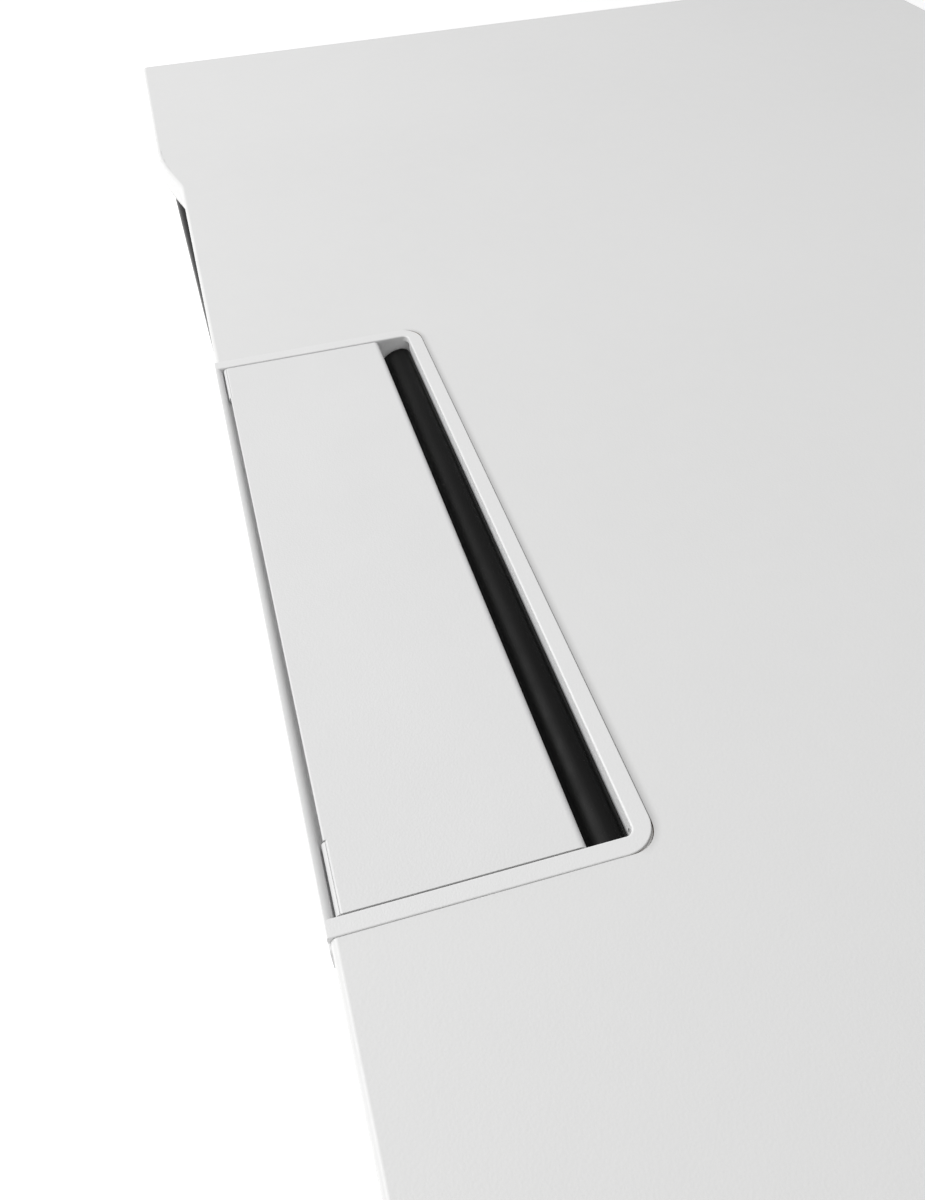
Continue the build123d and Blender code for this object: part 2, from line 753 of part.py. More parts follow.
for name, side in (("left", -1), ("right", 1)):
    with BuildPart() as end_rail:
        x = side * leg_x
        low = (x - rail_width / 2, -leg_y, rail_bottom)
        high = (x + rail_width / 2, leg_y, under_z)
        block(low, high)
        fillet(end_rail.edges().filter_by(Axis.Y), 3.0)
        block(
            (low[0] + rail_wall, -leg_y, low[2] + rail_wall),
            (high[0] - rail_wall, leg_y, high[2] - rail_wall),
            Mode.SUBTRACT,
        )
        for y in (-leg_y, leg_y):
            rod((x, y, rail_bottom - 1), (0, 0, 1), leg_radius + 0.05, rail_height + 2, Mode.SUBTRACT)
        for bolt_side, y in bolt_places:
            if bolt_side == side:
                start = (side * (end_rail_inner_x - 1), y, bolt_z)
                rod(start, (side, 0, 0), nut_radius + fit_gap, 4, Mode.SUBTRACT)
    save(end_rail.part, f"end_rail_{name}")

long_rail_half = end_rail_inner_x - plate_thickness
for name, y in (("front", -long_rail_y), ("rear", long_rail_y)):
    with BuildPart() as long_rail:
        low = (-long_rail_half, y - rail_width / 2, rail_bottom)
        high = (long_rail_half, y + rail_width / 2, under_z)
        block(low, high)
        fillet(long_rail.edges().filter_by(Axis.X), 3.0)
        block(
            (low[0], low[1] + rail_wall, low[2] + rail_wall),
            (high[0], high[1] - rail_wall, high[2] - rail_wall),
            Mode.SUBTRACT,
        )
    save(long_rail.part, f"long_rail_{name}")

    with BuildPart() as end_plates:
        for side in (-1, 1):
            ends = sorted((side * long_rail_half, side * end_rail_inner_x))
            block(
                (ends[0], y - end_plate_half, rail_bottom + end_plate_margin),
                (ends[1], y + end_plate_half, under_z - end_plate_margin),
            )
        fillet(end_plates.edges().filter_by(Axis.X), 5.0)
        for bolt_side, bolt_y in bolt_places:
            if abs(bolt_y - y) < end_plate_half:
                start = (bolt_side * (long_rail_half - 1), bolt_y, bolt_z)
                rod(start, (bolt_side, 0, 0), bolt_radius + 0.3, 6, Mode.SUBTRACT)
    save(end_plates.part, f"rail_end_plates_{name}")

with BuildPart() as rivet_nuts:
    for side, y in bolt_places:
        start = (side * end_rail_inner_x, y, bolt_z)
        rod(start, (side, 0, 0), nut_radius, nut_length)
    for side, y in bolt_places:
        start = (side * end_rail_inner_x, y, bolt_z)
        rod(start, (side, 0, 0), bolt_radius + fit_gap, nut_length, Mode.SUBTRACT)
save(rivet_nuts.part, "rivet_nuts")

with BuildPart() as rail_bolts:
    for side, y in bolt_places:
        seat = (side * long_rail_half, y, bolt_z)
        rod(seat, (side, 0, 0), bolt_radius, plate_thickness + nut_length - 1)
        head = Plane(origin=seat, z_dir=(-side, 0, 0))
        with BuildSketch(head):
            Circle(6.5)
        extrude(amount=6.0)
        with BuildSketch(head.offset(6.0)):
            RegularPolygon(3.0, 6, major_radius=False)
        extrude(amount=-4.0, mode=Mode.SUBTRACT)
save(rail_bolts.part, "rail_bolts")


def bracket(centre, long_x, long_y):
    """A flat lug welded to a rail, with two holes for the worktop screws."""
    x, y = centre
    block(
        (x - long_x / 2, y - long_y / 2, under_z - bracket_thickness),
        (x + long_x / 2, y + long_y / 2, under_z),
    )
    along_y = 1 if long_y > long_x else 0
    for side in (-1, 1):
        shift = side * bracket_pitch / 2
        start = (x + shift * (1 - along_y), y + shift * along_y, under_z - 5)
        rod(start, (0, 0, 1), screw_radius + 0.3, 6, Mode.SUBTRACT)


bracket_length = 64.0
for places, long_x, long_y, rail in (
    (end_brackets, bracket_size, bracket_length, "end"),
    (long_brackets, bracket_length, bracket_size, "long"),
):
    for name, centre in places.items():
        with BuildPart() as lug:
            bracket(centre, long_x, long_y)
            fillet(lug.edges().filter_by(Axis.Z).filter_by(
                lambda e: e.length > 2.9 and e.geom_type == GeomType.LINE
            ), 4.0)
        save(lug.part, f"{rail}_rail_lug_{name}")

with BuildPart() as worktop_screws:
    seats = [(x, y, under_z - bracket_thickness) for x, y in bracket_screw_places]
    for seat in seats:
        pan_screw(seat, (0, 0, 1), screw_radius, 15.0)
    for seat in seats:
        cross_recess(seat, (0, 0, 1), screw_radius)
save(worktop_screws.part, "worktop_screws")


# Legs and levelling feet -------------------------------------------------------
plug_flange = 3.0
plug_length = 28.0
plug_radius = leg_radius - leg_wall
ball_radius = 6.0
ball_z = 9.5
pad_height = 15.0
hex_bottom = 18.5
hex_top = leg_bottom - 0.1
stem_top = 72.0
neck_radius = 3.6

for name, (x, y) in leg_places.items():
    with BuildPart() as leg:
        rod((x, y, leg_bottom + plug_flange), (0, 0, 1), leg_radius, under_z - leg_bottom - plug_flange)
        inside = under_z - leg_bottom - plug_flange - 3.0
        rod((x, y, leg_bottom + plug_flange), (0, 0, 1), plug_radius, inside, Mode.SUBTRACT)
    save(leg.part, f"leg_{name}")

    with BuildPart() as plug:
        rod((x, y, leg_bottom), (0, 0, 1), leg_radius, plug_flange)
        rod((x, y, leg_bottom + plug_flange), (0, 0, 1), plug_radius - fit_gap, plug_length)
        fillet(plug.edges().group_by(Axis.Z)[0], 1.2)
        rod((x, y, leg_bottom), (0, 0, 1), stem_radius + fit_gap, plug_length + 5, Mode.SUBTRACT)
    save(plug.part, f"foot_plug_{name}")

    with BuildPart() as pad:
        with BuildSketch(Plane.XZ.offset(-y)):
            with BuildLine():
                Polyline(
                    (x, 0),
                    (x + foot_pad_radius - 1, 0),
                    (x + foot_pad_radius, 1),
                    (x + foot_pad_radius, 5),
                    (x + 12.5, pad_height),
                    (x, pad_height),
                    close=True,
                )
            make_face()
        revolve(axis=Axis((x, y, 0), (0, 0, 1)))
        with Locations((x, y, ball_z)):
            Sphere(ball_radius + fit_gap, mode=Mode.SUBTRACT)
        rod((x, y, ball_z), (0, 0, 1), 5.4, pad_height, Mode.SUBTRACT)
    save(pad.part, f"foot_pad_{name}")

    with BuildPart() as stem:
        with Locations((x, y, ball_z)):
            Sphere(ball_radius)
        rod((x, y, ball_z), (0, 0, 1), neck_radius, hex_bottom - ball_z)
        with BuildSketch(Plane.XY.offset(hex_bottom)):
            with Locations((x, y)):
                RegularPolygon(8.5, 6, major_radius=False)
        extrude(amount=hex_top - hex_bottom)
        rod((x, y, hex_top), (0, 0, 1), stem_radius, stem_top - hex_top)
        chamfer(stem.edges().group_by(Axis.Z)[-1], 0.8)
    save(stem.part, f"foot_stem_{name}")
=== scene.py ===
import bpy
import bmesh
import json
import math
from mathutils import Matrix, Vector


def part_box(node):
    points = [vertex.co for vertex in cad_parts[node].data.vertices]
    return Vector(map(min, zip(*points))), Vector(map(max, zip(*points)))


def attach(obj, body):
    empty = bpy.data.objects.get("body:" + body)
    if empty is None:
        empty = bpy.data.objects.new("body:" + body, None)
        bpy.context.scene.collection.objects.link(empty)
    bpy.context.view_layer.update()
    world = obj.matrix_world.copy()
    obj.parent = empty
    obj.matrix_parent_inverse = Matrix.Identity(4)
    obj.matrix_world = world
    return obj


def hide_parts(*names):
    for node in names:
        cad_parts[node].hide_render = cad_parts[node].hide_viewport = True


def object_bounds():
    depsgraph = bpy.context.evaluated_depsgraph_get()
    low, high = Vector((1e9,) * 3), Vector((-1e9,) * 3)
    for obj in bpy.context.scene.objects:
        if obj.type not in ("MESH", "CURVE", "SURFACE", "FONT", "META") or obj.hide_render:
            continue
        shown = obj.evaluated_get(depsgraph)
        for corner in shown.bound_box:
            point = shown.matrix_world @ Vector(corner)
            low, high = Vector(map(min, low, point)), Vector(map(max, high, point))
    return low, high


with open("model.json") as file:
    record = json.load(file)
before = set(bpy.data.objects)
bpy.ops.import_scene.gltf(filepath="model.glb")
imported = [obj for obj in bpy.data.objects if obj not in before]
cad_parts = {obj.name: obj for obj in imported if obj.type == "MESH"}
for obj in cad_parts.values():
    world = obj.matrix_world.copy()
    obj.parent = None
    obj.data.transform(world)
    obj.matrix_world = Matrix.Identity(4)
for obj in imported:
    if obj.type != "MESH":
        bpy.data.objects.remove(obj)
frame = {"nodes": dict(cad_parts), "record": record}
cad_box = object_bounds()
nodes = frame["nodes"]
scene = bpy.context.scene

# The CAD nodes keep their shapes and get node-based materials. The weld seams are
# added as meshes, and threaded stems replace the feet's plain ones. All lengths are
# in metres.
CORNERS = ("front_left", "front_right", "rear_left", "rear_right")
MM = 0.001

desk_low, desk_high = cad_box
top_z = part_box("worktop_board")[1].z
under_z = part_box("worktop_board")[0].z
rear_y = desk_high.y


# Node helpers -------------------------------------------------------------------
class Graph:
    """A small wrapper for building one material's node tree."""

    def __init__(self, name):
        self.material = bpy.data.materials.new(name)
        self.material.use_nodes = True
        self.tree = self.material.node_tree
        self.shader = self.tree.nodes["Principled BSDF"]
        self.coords = self.add("ShaderNodeTexCoord").outputs["Object"]

    def add(self, kind, inputs=None, **settings):
        node = self.tree.nodes.new(kind)
        for key, value in settings.items():
            setattr(node, key, value)
        for key, value in (inputs or {}).items():
            self.put(value, node.inputs[key])
        return node

    def put(self, value, socket):
        if isinstance(value, bpy.types.NodeSocket):
            self.tree.links.new(value, socket)
        else:
            socket.default_value = value

    def position(self):
        """The X, Y and Z outputs of the shaded point, in the desk's frame."""
        return self.add("ShaderNodeSeparateXYZ", {"Vector": self.coords}).outputs

    def mapped(self, scale):
        """Object coordinates, stretched by a scale for each axis."""
        node = self.add("ShaderNodeMapping", {"Vector": self.coords, "Scale": scale})
        return node.outputs["Vector"]

    def noise(self, scale, detail=2.0, rough=0.5, vector=None):
        """Fractal noise, with its scale in features per metre."""
        inputs = {
            "Vector": vector or self.coords,
            "Scale": scale,
            "Detail": detail,
            "Roughness": rough,
        }
        return self.add("ShaderNodeTexNoise", inputs).outputs["Fac"]

    def cells(self, scale, vector=None, smooth=None):
        """Distance to the nearest cell centre of a Voronoi pattern, rounded over
        between the cells where smooth is given."""
        inputs = {"Vector": vector or self.coords, "Scale": scale}
        feature = "F1"
        if smooth is not None:
            feature = "SMOOTH_F1"
            inputs["Smoothness"] = smooth
        node = self.add("ShaderNodeTexVoronoi", inputs, feature=feature)
        return node.outputs["Distance"]

    def remap(self, value, start, end, low=0.0, high=1.0):
        """Low where the value is at start, high where it is at end."""
        inputs = {
            "Value": value,
            "From Min": start,
            "From Max": end,
            "To Min": low,
            "To Max": high,
        }
        return self.add("ShaderNodeMapRange", inputs).outputs["Result"]

    def patches(self, scale, detail, rough, start=0.3, end=0.7, **limits):
        """Noise stretched to run over a whole range. It seldom leaves 0.3 to 0.7."""
        return self.remap(self.noise(scale, detail, rough), start, end, **limits)

    def math(self, operation, a, b=0.0):
        node = self.add("ShaderNodeMath", operation=operation)
        self.put(a, node.inputs[0])
        self.put(b, node.inputs[1])
        return node.outputs["Value"]

    def times(self, a, b):
        return self.math("MULTIPLY", a, b)

    def excess(self, a, b):
        """How far a is above b, or 0 where it is below."""
        return self.math("MAXIMUM", self.math("SUBTRACT", a, b), 0.0)

    def blend(self, factor, a, b):
        """Colour a where the factor is 0, b where it is 1."""
        node = self.add("ShaderNodeMix", data_type="RGBA")
        self.put(factor, node.inputs["Factor"])
        self.put(a, node.inputs["A"])
        self.put(b, node.inputs["B"])
        return node.outputs["Result"]

    def tint(self, colour, mask, strength, other):
        """Another colour mixed in by a strength where the mask is 1."""
        return self.blend(self.times(mask, strength), colour, other)

    def edges(self, width):
        """1 on sharp edges, 0 elsewhere, from a rounded normal of this width."""
        rounded = self.rounded_normal(width)
        plain = self.add("ShaderNodeNewGeometry").outputs["Normal"]
        node = self.add("ShaderNodeVectorMath", operation="DOT_PRODUCT")
        self.put(rounded, node.inputs[0])
        self.put(plain, node.inputs[1])
        turned = self.math("SUBTRACT", 1.0, node.outputs["Value"])
        return self.remap(turned, 0.02, 0.25)

    def rounded_normal(self, width):
        node = self.add("ShaderNodeBevel", {"Radius": width}, samples=4)
        return node.outputs["Normal"]

    def bump(self, layers, bevel=0.0):
        """Stacks (height, depth in metres) layers of bump on a rounded normal."""
        normal = self.rounded_normal(bevel) if bevel else None
        for height, depth in layers:
            inputs = {"Height": height, "Distance": depth, "Strength": 1.0}
            node = self.add("ShaderNodeBump", inputs)
            if normal:
                self.put(normal, node.inputs["Normal"])
            normal = node.outputs["Normal"]
        self.put(normal, self.shader.inputs["Normal"])

    def finish(self, colour, roughness, **constants):
        self.put(colour, self.shader.inputs["Base Color"])
        self.put(roughness, self.shader.inputs["Roughness"])
        for key, value in constants.items():
            self.shader.inputs[key.replace("_", " ")].default_value = value
        return self.material


def rgba(*colour):
    """An opaque colour, or a grey from one number."""
    if len(colour) == 1:
        colour = colour * 3
    return (*colour, 1.0)


# Materials ----------------------------------------------------------------------
FACE_LAYER = 0.4 * MM            # melamine paper over the chipboard core
BEZEL_HALF = 193.2 * MM          # the hatch bezel's half length, without its skirt
BEZEL_CORNER = 13.5 * MM
PAINTED_SHADOW_REACH = 4.2 * MM            # reach of the painted shadow along the bezel's front edge
ARRIS_SHADE_LOW = 2.0 * MM             # painted shade on the edge band's lower arris, full up to the first height above its edge, none at this one
ARRIS_SHADE_HIGH = 4.5 * MM            # the first height above its edge, none at this one


def bezel_painted_shadow(g):
    """A mask for painted shadow on the desktop, standing in for the shadow of the raised
    bezel: 1 against the front edge of the hatch bezel, fading to 0 a few millimetres away.
    It follows the bezel's rounded outline: across and ahead run from the centres of the
    corner arcs, along the desk and towards its front."""
    point = g.position()
    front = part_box("hatch_frame")[0].y
    across = g.excess(g.math("ABSOLUTE", point["X"]), BEZEL_HALF - BEZEL_CORNER)
    ahead = g.excess(front + BEZEL_CORNER, point["Y"])
    squares = g.math("ADD", g.times(across, across), g.times(ahead, ahead))
    distance = g.math("SUBTRACT", g.math("SQRT", squares), BEZEL_CORNER)
    near = g.math("POWER", g.remap(distance, 0.0, PAINTED_SHADOW_REACH, 1.0, 0.0), 1.5)
    return g.times(near, g.remap(ahead, 0.3 * BEZEL_CORNER, BEZEL_CORNER))


def melamine():
    """White melamine faces with a pebbled press texture over a raw chipboard core."""
    g = Graph("white_melamine")
    clouds = g.patches(3.0, 3.0, 0.55)
    colour = g.blend(clouds, rgba(0.720, 0.720, 0.718), rgba(0.738, 0.738, 0.736))
    mottle = g.patches(60.0, 3.0, 0.6)
    colour = g.tint(colour, mottle, 0.35, rgba(0.745, 0.744, 0.741))
    present = g.math("GREATER_THAN", g.noise(31.0, 0.0), 0.71)
    small = g.math("LESS_THAN", g.cells(55.0), 0.022)
    speck = g.times(present, small)
    colour = g.tint(colour, speck, 0.55, rgba(0.30, 0.29, 0.27))
    # painted shadow: the desktop is darkened in a soft band in front of the bezel,
    # standing in for the shadow the raised bezel casts
    colour = g.tint(colour, bezel_painted_shadow(g), 0.5, rgba(0.18, 0.18, 0.178))

    flakes = g.cells(700.0, vector=g.mapped((1.0, 1.0, 2.2)))
    light_flake, dark_flake = rgba(0.40, 0.28, 0.17), rgba(0.16, 0.10, 0.06)
    chips = g.blend(g.remap(flakes, 0.0, 0.6), light_flake, dark_flake)
    splinters = g.patches(900.0, 3.0, 0.7, start=0.4)
    chips = g.blend(splinters, chips, rgba(0.52, 0.40, 0.26))
    half = (top_z - under_z) / 2
    middle = (top_z + under_z) / 2
    from_middle = g.math("ABSOLUTE", g.math("SUBTRACT", g.position()["Z"], middle))
    core = g.math("LESS_THAN", from_middle, half - FACE_LAYER)
    colour = g.blend(core, colour, chips)

    waves = g.noise(9.0, 1.0)
    pebble = g.cells(900.0, smooth=0.6)
    grain = g.noise(2600.0, 2.0, 0.6)
    crumbs = g.times(core, flakes)
    roughness = g.patches(140.0, 3.0, 0.6, low=0.44, high=0.54)
    roughness = g.math("ADD", roughness, g.times(core, 0.4))
    g.bump([(waves, 0.0003), (pebble, 0.00004), (grain, 0.00002), (crumbs, 0.0006)])
    return g.finish(colour, roughness, Specular_IOR_Level=0.40)


def edge_band():
    """Extruded plastic edging: fine lengthwise draw lines and satin sheen."""
    g = Graph("white_edge_band")
    mottle = g.patches(40.0, 3.0, 0.6)
    colour = g.blend(mottle, rgba(0.705, 0.705, 0.703), rgba(0.725, 0.725, 0.722))
    worn = g.times(g.edges(0.0012), g.noise(90.0, 4.0, 0.7))
    colour = g.tint(colour, worn, 0.25, rgba(0.72, 0.715, 0.70))
    # painted shade: the edge band darkens in patches towards its lower, downward-turned
    # arris
    low, high = under_z + ARRIS_SHADE_LOW, under_z + ARRIS_SHADE_HIGH
    arris = g.remap(g.position()["Z"], low, high, 1.0, 0.0)
    arris_shade_patches = g.patches(35.0, 4.0, 0.7, 0.2, 0.6, low=0.3, high=0.6)
    colour = g.blend(g.times(arris, arris_shade_patches), colour, rgba(0.36, 0.355, 0.35))
    lines = g.noise(1.0, 3.0, 0.6, vector=g.mapped((3.0, 3.0, 2400.0)))
    grain = g.noise(1500.0, 2.0, 0.6)
    roughness = g.patches(200.0, 3.0, 0.6, low=0.34, high=0.46)
    g.bump([(lines, 0.00004), (grain, 0.00002)])
    return g.finish(colour, roughness, Specular_IOR_Level=0.5)


def moulded_white(name, dark, light, spark, rough):
    """Moulded plastic with a spark-eroded grain, slightly polished on its edges.
    The spark is the grain's scale, in cells per metre."""
    g = Graph(name)
    colour = g.blend(g.patches(14.0, 3.0, 0.55), dark, light)
    fine = g.noise(700.0, 3.0, 0.65)
    faint = g.remap(fine, 0.35, 0.65, 0.0, 0.10)
    colour = g.blend(faint, colour, rgba(0.70, 0.70, 0.695))
    rubbed = g.times(g.edges(0.0010), g.patches(160.0, 3.0, 0.7, 0.45, 0.75))
    roughness = g.patches(240.0, 3.0, 0.6, low=rough - 0.05, high=rough + 0.05)
    roughness = g.math("SUBTRACT", roughness, g.times(rubbed, 0.12))
    waves = g.noise(22.0, 1.0)
    grain = g.cells(spark, smooth=0.7)
    g.bump([(waves, 0.0004), (grain, 0.00005), (fine, 0.00002)], bevel=0.0003)
    return g.finish(colour, roughness, Specular_IOR_Level=0.45)


def rubber():
    """Black extruded rubber: satin, lengthwise flow marks, dusty bloom in patches."""
    g = Graph("black_rubber")
    bloom = g.patches(26.0, 5.0, 0.65, 0.45, 0.8)
    colour = g.tint(rgba(0.0030), bloom, 0.4, rgba(0.007, 0.007, 0.0068))
    dust = g.math("LESS_THAN", g.cells(260.0), 0.03)
    colour = g.tint(colour, dust, 0.6, rgba(0.10, 0.095, 0.09))
    roughness = g.patches(70.0, 4.0, 0.65, low=0.40, high=0.52)
    waves = g.noise(1.0, 1.0, vector=g.mapped((22.0, 60.0, 60.0)))
    flow = g.noise(1.0, 4.0, 0.6, vector=g.mapped((5.0, 900.0, 900.0)))
    grain = g.noise(1800.0, 3.0, 0.6)
    g.bump([(waves, 0.0002), (flow, 0.00004), (grain, 0.00003)])
    return g.finish(colour, roughness, Specular_IOR_Level=0.14)


def powder_coat(name, dark, light, worn, rough, gloss):
    """Powder-coated steel: orange-peel skin, faint scuffs, rubbed edges."""
    g = Graph(name)
    colour = g.blend(g.patches(18.0, 3.0, 0.6), dark, light)
    streaks = g.noise(1.0, 5.0, 0.7, vector=g.mapped((160.0, 160.0, 14.0)))
    colour = g.tint(colour, g.remap(streaks, 0.66, 0.80), 0.30, worn)
    rubbed = g.times(g.edges(0.0015), g.patches(120.0, 4.0, 0.7, 0.5, 0.75))
    colour = g.tint(colour, rubbed, 0.45, worn)
    peel = g.cells(520.0, smooth=0.9)
    fine = g.noise(1700.0, 2.0, 0.6)
    roughness = g.patches(90.0, 4.0, 0.65, low=rough - 0.06, high=rough + 0.07)
    g.bump([(peel, 0.00008), (fine, 0.00003)], bevel=0.0006)
    return g.finish(colour, roughness, Specular_IOR_Level=gloss)


def zinc():
    """Bright zinc plate: bluish, spangled, with fine turning marks."""
    g = Graph("zinc_plate")
    spangle = g.remap(g.cells(420.0), 0.0, 0.8)
    colour = g.blend(spangle, rgba(0.58, 0.60, 0.63), rgba(0.70, 0.71, 0.72))
    stain = g.patches(55.0, 5.0, 0.7, 0.55, 0.8)
    colour = g.tint(colour, stain, 0.4, rgba(0.44, 0.42, 0.37))
    roughness = g.patches(300.0, 4.0, 0.65, low=0.24, high=0.42)
    turning = g.noise(1.0, 2.0, vector=g.mapped((200.0, 200.0, 5200.0)))
    g.bump([(turning, 0.00004), (g.noise(900.0, 3.0), 0.00003)], bevel=0.0003)
    return g.finish(colour, roughness, Metallic=1.0)


def mill_aluminium():
    """Extruded aluminium strip with long die lines."""
    g = Graph("mill_aluminium")
    lines = g.noise(1.0, 4.0, 0.65, vector=g.mapped((4.0, 2600.0, 2600.0)))
    streaks = g.remap(lines, 0.3, 0.7)
    colour = g.blend(streaks, rgba(0.55, 0.56, 0.57), rgba(0.68, 0.69, 0.70))
    stain = g.patches(40.0, 5.0, 0.7, 0.55, 0.8)
    colour = g.tint(colour, stain, 0.3, rgba(0.48, 0.475, 0.46))
    roughness = g.remap(lines, 0.3, 0.7, 0.28, 0.44)
    g.bump([(lines, 0.00005)], bevel=0.0003)
    return g.finish(colour, roughness, Metallic=1.0)


def black_plastic():
    """Moulded black polyamide: fine grain, greyed where it is scuffed."""
    g = Graph("black_polyamide")
    clouds = g.patches(60.0, 4.0, 0.6)
    colour = g.blend(clouds, rgba(0.014, 0.014, 0.015), rgba(0.024, 0.024, 0.025))
    scuffed = g.times(g.edges(0.0015), g.patches(210.0, 4.0, 0.7, start=0.4))
    colour = g.tint(colour, scuffed, 0.6, rgba(0.09, 0.088, 0.085))
    roughness = g.patches(180.0, 3.0, 0.6, low=0.42, high=0.56)
    grain = g.cells(1500.0, smooth=0.8)
    g.bump([(grain, 0.00006), (g.noise(2400.0, 2.0), 0.00002)], bevel=0.0004)
    return g.finish(colour, roughness, Specular_IOR_Level=0.45)


looks = {
    "worktop": melamine(),
    "edge_band": edge_band(),
    "hatch_plastic": moulded_white(
        "white_frame_plastic", rgba(0.755), rgba(0.772), 1500.0, rough=0.40
    ),
    "lid_plastic": moulded_white(
        "white_lid_plastic", rgba(0.728), rgba(0.742), 1100.0, rough=0.46
    ),
    "rubber": rubber(),
    "aluminium_bar": mill_aluminium(),
    "zinc_steel": zinc(),
    "leg_steel": powder_coat(
        "black_powder_coat", rgba(0.007), rgba(0.011), rgba(0.05), 0.24, gloss=0.12
    ),
    "tray_steel": powder_coat(
        "grey_powder_coat", rgba(0.60), rgba(0.66), rgba(0.42), 0.42, gloss=0.5
    ),
    "black_plastic": black_plastic(),
}

for part in frame["record"]["subparts"]:
    mesh = nodes[part["node"]].data
    mesh.materials.clear()
    mesh.materials.append(looks[part["material_slot"]])


# Detailed pieces ----------------------------------------------------------------
LEG_RADIUS = 25.0 * MM
RAIL_HALF = 12.5 * MM            # half the width of a rail
RAIL_CORNER = 2.0 * MM
SEAM_TOP_GAP = 3.5 * MM          # the seams stop this far below the rails' tops
PLATE_RISE = 3.2 * MM            # and on the end plates start this far above the bottom
BEAD_RADIUS = 2.0 * MM
BEAD_STEP = 1.3 * MM             # spacing of the ripples along a weld
BEAD_SIDES = 12
LUG_BEAD_RADIUS = 1.7 * MM
LUG_BEAD_RISE = 0.3 * MM         # height of a lug's seam above its underside
LUG_BEAD_INSET = 8.0 * MM
THREAD_PITCH = 1.5 * MM
COLUMNS = 48                     # points round a turned piece


def place(name, mesh, body, slot, location=(0, 0, 0)):
    """Adds a mesh as a piece that rides on a body and takes a record slot's look."""
    if not mesh.materials:
        mesh.materials.append(looks[slot])
    piece = bpy.data.objects.new(name, mesh)
    scene.collection.objects.link(piece)
    piece.location = location
    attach(piece, body)
    return piece


def skin(shape, rings):
    """Joins rings of points, all of one length, into a tube with capped ends."""
    made = [[shape.verts.new(point) for point in ring] for ring in rings]
    count = len(made[0])
    for lower, upper in zip(made, made[1:]):
        for i in range(count):
            j = (i + 1) % count
            shape.faces.new((lower[i], lower[j], upper[j], upper[i]))
    shape.faces.new(reversed(made[0]))
    shape.faces.new(made[-1])


def to_mesh(name, shape, sharp_degrees=40.0):
    """Turns a bmesh into a smooth-shaded mesh that keeps its sharp edges."""
    bmesh.ops.recalc_face_normals(shape, faces=shape.faces)
    mesh = bpy.data.meshes.new(name)
    shape.to_mesh(mesh)
    shape.free()
    mesh.shade_smooth()
    mesh.set_sharp_from_angle(angle=math.radians(sharp_degrees))
    return mesh


def resample(path, step):
    """Points at an even spacing along a polyline."""
    points = [Vector(p) for p in path]
    out = [points[0]]
    carry = step
    for a, b in zip(points, points[1:]):
        length = (b - a).length
        along = carry
        while along < length:
            out.append(a.lerp(b, along / length))
            along += step
        carry = along - length
    return out + [points[-1]]


def weld_bead(shape, path, radius=BEAD_RADIUS):
    """A rippled weld seam along a polyline, tapering to its ends."""
    points = resample(path, BEAD_STEP / 3)
    last = len(points) - 1
    turns = [2 * math.pi * k / BEAD_SIDES for k in range(BEAD_SIDES)]
    rings = []
    for i, point in enumerate(points):
        ahead = (points[min(i + 1, last)] - points[max(i - 1, 0)]).normalized()
        side = ahead.orthogonal().normalized()
        other = ahead.cross(side)
        ripple = 0.90 + 0.10 * math.cos(2 * math.pi * i / 3)
        wander = 1.0 + 0.06 * math.sin(0.37 * i) * math.cos(0.11 * i)
        fade = min(1.0, (min(i, last - i) + 1.5) / 5.0)
        size = radius * ripple * wander * fade
        rings.append([
            point + size * (math.cos(a) * side + math.sin(a) * other) for a in turns
        ])
    skin(shape, rings)


def rail_outline(low, high):
    """Down one flank, along the bottom and up the other flank of a rail's section,
    as pairs of sideways place and height."""
    steps = 9
    flat = 2 * (RAIL_HALF - RAIL_CORNER)
    down = [(-RAIL_HALF, z) for z in (high, (high + low) / 2, low + RAIL_CORNER)]
    bottom = [
        (-RAIL_HALF + RAIL_CORNER + flat * k / steps, low) for k in range(steps + 1)
    ]
    return down + bottom + [(-u, z) for u, z in reversed(down)]


def leg_seams(low, high):
    """Seams where the end rails meet the round legs."""
    shape = bmesh.new()
    for corner in CORNERS:
        leg_low, leg_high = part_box(f"leg_{corner}")
        x, y = (leg_low.x + leg_high.x) / 2, (leg_low.y + leg_high.y) / 2
        inward = -math.copysign(1.0, y)
        path = [
            (x + u, y + inward * math.sqrt(LEG_RADIUS ** 2 - u ** 2), z)
            for u, z in rail_outline(low, high)
        ]
        weld_bead(shape, path)
    return shape


def plate_seams(low, high):
    """Seams where the long rails meet their end plates."""
    shape = bmesh.new()
    for rail in ("long_rail_front", "long_rail_rear"):
        rail_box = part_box(rail)
        y = (rail_box[0].y + rail_box[1].y) / 2
        for x in (rail_box[0].x, rail_box[1].x):
            outline = rail_outline(low + PLATE_RISE, high)
            weld_bead(shape, [(x, y + u, z) for u, z in outline])
    return shape


def lug_seams():
    """Seams where the lugs under the board meet the rails."""
    shape = bmesh.new()
    for node in sorted(n for n in nodes if "_lug_" in n):
        a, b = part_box(node)
        z = a.z + LUG_BEAD_RISE
        if node.startswith("end"):
            x = a.x if a.x < 0 else b.x
            path = [(x, a.y + LUG_BEAD_INSET, z), (x, b.y - LUG_BEAD_INSET, z)]
        else:
            y = a.y if a.y < 0 else b.y
            path = [(a.x + LUG_BEAD_INSET, y, z), (b.x - LUG_BEAD_INSET, y, z)]
        weld_bead(shape, path, LUG_BEAD_RADIUS)
    return shape


def weld_seams():
    """Seams that join the legs, rails, end plates and lugs."""
    rail_low, rail_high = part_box("end_rail_left")
    low, high = rail_low.z, rail_high.z - SEAM_TOP_GAP
    shapes = {
        "weld_seams_legs": leg_seams(low, high),
        "weld_seams_plates": plate_seams(low, high),
        "weld_seams_lugs": lug_seams(),
    }
    for name, shape in shapes.items():
        place(name, to_mesh(name, shape), "desk", "leg_steel")


